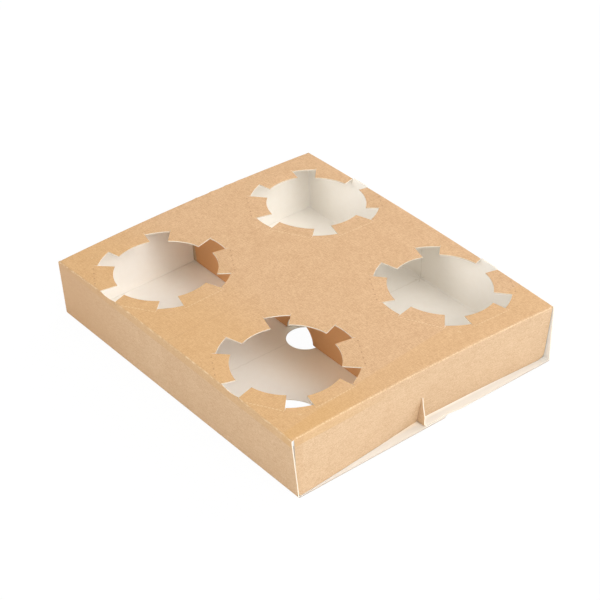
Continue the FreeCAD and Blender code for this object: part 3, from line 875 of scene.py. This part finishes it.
# The cut edge shows the board's pale core between the two papers, rough where the die parted its
# fibres. At the two ends' feet, where it stands on the table, it is painted dark as a contact shadow.

CORE = (0.80, 0.74, 0.64, 1.0)
CORE_SHADE = (0.70, 0.58, 0.43, 1.0)
CONTACT_SHADOW = (0.30, 0.245, 0.21, 1.0)
CONTACT_SHADOW_LENGTH = 6.0
CONTACT_SHADOW_HEIGHT = 0.7

edge = Finish(bpy.data.materials.new("cut_board_edge"))
here = place_in_mm(edge)
edge_tone = edge.noise(here, 2.2, 2.0).between(0.35, 0.75)
edge_colour = edge.mixed(edge_tone, CORE, CORE_SHADE)
along, _, up = edge.parts(here)
# Painted shadow: the edge is darkened at each end's foot, where the carrier's shadow meets the table.
at_foot = (along.size() > HALF_LENGTH - CONTACT_SHADOW_LENGTH) * (up < CONTACT_SHADOW_HEIGHT)
edge_colour = edge.mixed(at_foot * 0.8, edge_colour, CONTACT_SHADOW)
edge_shader = edge.add("ShaderNodeBsdfPrincipled", None, Base_Color=edge_colour, Roughness=0.8)
carrier_mesh.materials.append(edge.finished(edge_shader))

# The floor is a plain sheet of white paper under the carrier. The camera sees it as nearly pure
# white, with a trace of the carrier's soft shadow.

WHITE = (1.0, 1.0, 1.0, 1.0)
FLOOR_SIZE = 6.0
FLOOR_HEIGHT = -0.1 * MM
FLOOR_PAPER = (0.93, 0.93, 0.93, 1.0)
FLOOR_GLOW = 0.97

bpy.ops.mesh.primitive_plane_add(size=FLOOR_SIZE, location=(0.0, 0.0, FLOOR_HEIGHT))
floor = bpy.context.object
floor.name = "floor"
floor_finish = Finish(bpy.data.materials.new("white_floor"))
from_camera = floor_finish.add("ShaderNodeLightPath")
matt = floor_finish.add("ShaderNodeBsdfDiffuse", None, FLOOR_PAPER)
glow = floor_finish.add("ShaderNodeEmission", None, WHITE, 1.0)
floor_shader = floor_finish.add("ShaderNodeMixShader", None, from_camera * FLOOR_GLOW, matt, glow)
floor.data.materials.append(floor_finish.finished(floor_shader))

# The light is a dim white room with soft lamps on every side. The lamps behind the tray and at
# its right are the brightest, and shine in through the seats.

ROOM_LIGHT = 0.30
LAMP_WIDTH = math.radians(40.0)

world = bpy.data.worlds.new("white_room")
bpy.context.scene.world = world
room = Finish(world)
from_camera = room.add("ShaderNodeLightPath")
dim = room.add("ShaderNodeBackground", None, WHITE, ROOM_LIGHT)
backdrop = room.add("ShaderNodeBackground", None, WHITE, 1.0)
surroundings = room.add("ShaderNodeMixShader", None, from_camera, dim, backdrop)
room.add("ShaderNodeOutputWorld", None, surroundings)


def soft_lamp(name, bearing, height, brightness):
    """A wide soft lamp far off, its bearing counted from +X and its height from the floor, both
    in degrees. Its energy is its brightness times pi, so that white paper squarely facing a lamp
    of brightness 1 shows as white."""
    light = bpy.data.lights.new(name, "SUN")
    light.angle = LAMP_WIDTH
    light.energy = brightness * math.pi
    lamp = bpy.data.objects.new(name, light)
    lamp.rotation_euler = (math.radians(90.0 - height), 0.0, math.radians(90.0 + bearing))
    bpy.context.collection.objects.link(lamp)


soft_lamp("behind_low", 90.0, 10.0, 0.62)
soft_lamp("behind_high", 90.0, 34.0, 0.41)
soft_lamp("right_low", 20.0, 10.0, 0.14)
soft_lamp("right_middle", 0.0, 32.0, 0.38)
soft_lamp("right_high", 0.0, 58.0, 0.33)
soft_lamp("front_low", 290.0, 10.0, 0.22)
soft_lamp("front_high", 270.0, 34.0, 0.35)
soft_lamp("left_high", 180.0, 40.0, 0.08)

# The camera stands where the photograph was taken from, a metre off and above one corner, with a
# long lens. Its place and turn were worked out from the tray's corners in the photograph.

SENSOR_WIDTH = 36.0
LENS = 104.9
CAMERA_PLACE = (0.65024, -0.52345, 0.61492)
CAMERA_TURN = (54.836, 0.469, 50.886)

camera_data = bpy.data.cameras.new("camera")
camera_data.sensor_width = SENSOR_WIDTH
camera_data.lens = LENS
camera = bpy.data.objects.new("camera", camera_data)
camera.location = CAMERA_PLACE
camera.rotation_euler = [math.radians(degrees) for degrees in CAMERA_TURN]
bpy.context.collection.objects.link(camera)
bpy.context.scene.camera = camera
bpy.context.scene.view_settings.view_transform = "Standard"
